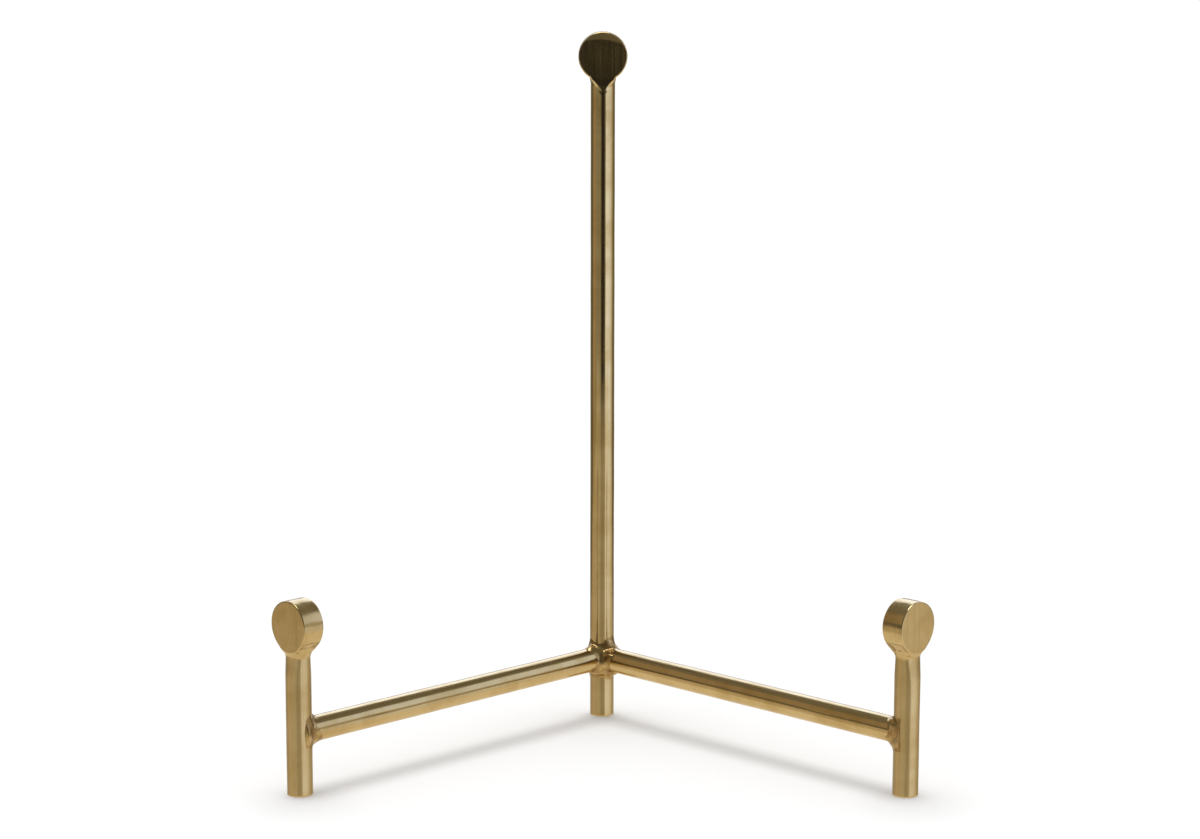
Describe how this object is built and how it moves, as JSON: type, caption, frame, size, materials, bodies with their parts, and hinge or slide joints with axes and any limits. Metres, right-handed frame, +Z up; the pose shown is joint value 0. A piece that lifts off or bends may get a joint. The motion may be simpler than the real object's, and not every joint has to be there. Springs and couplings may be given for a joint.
{
  "type": "display easel",
  "caption": "Brass-finish tabletop display easel of welded round bar: a tall rear post with a disc on top, and two level arms running to short front posts with discs.",
  "frame": {"origin": "on the floor, at the middle of the easel's outline in plan", "axes": "+Z up along the posts, -Y to the front, where the two short posts stand, +X to the viewer's right"},
  "size_m": [0.2528, 0.1314, 0.286],
  "materials": {
    "bar": "brushed",
    "disc": "brushed",
    "weld": "ground"
  },
  "bodies": {
    "root": {"rear_post": "bar", "rear_disc": "disc", "rear_neck_weld": "weld", "left_arm": "bar", "left_front_post": "bar", "left_front_disc": "disc", "left_neck_weld": "weld", "left_front_upper_weld": "weld", "left_front_lower_weld": "weld", "left_rear_upper_weld": "weld", "left_rear_lower_weld": "weld", "right_arm": "bar", "right_front_post": "bar", "right_front_disc": "disc", "right_neck_weld": "weld", "right_front_upper_weld": "weld", "right_front_lower_weld": "weld", "right_rear_upper_weld": "weld", "right_rear_lower_weld": "weld"}
  },
  "joints": []
}
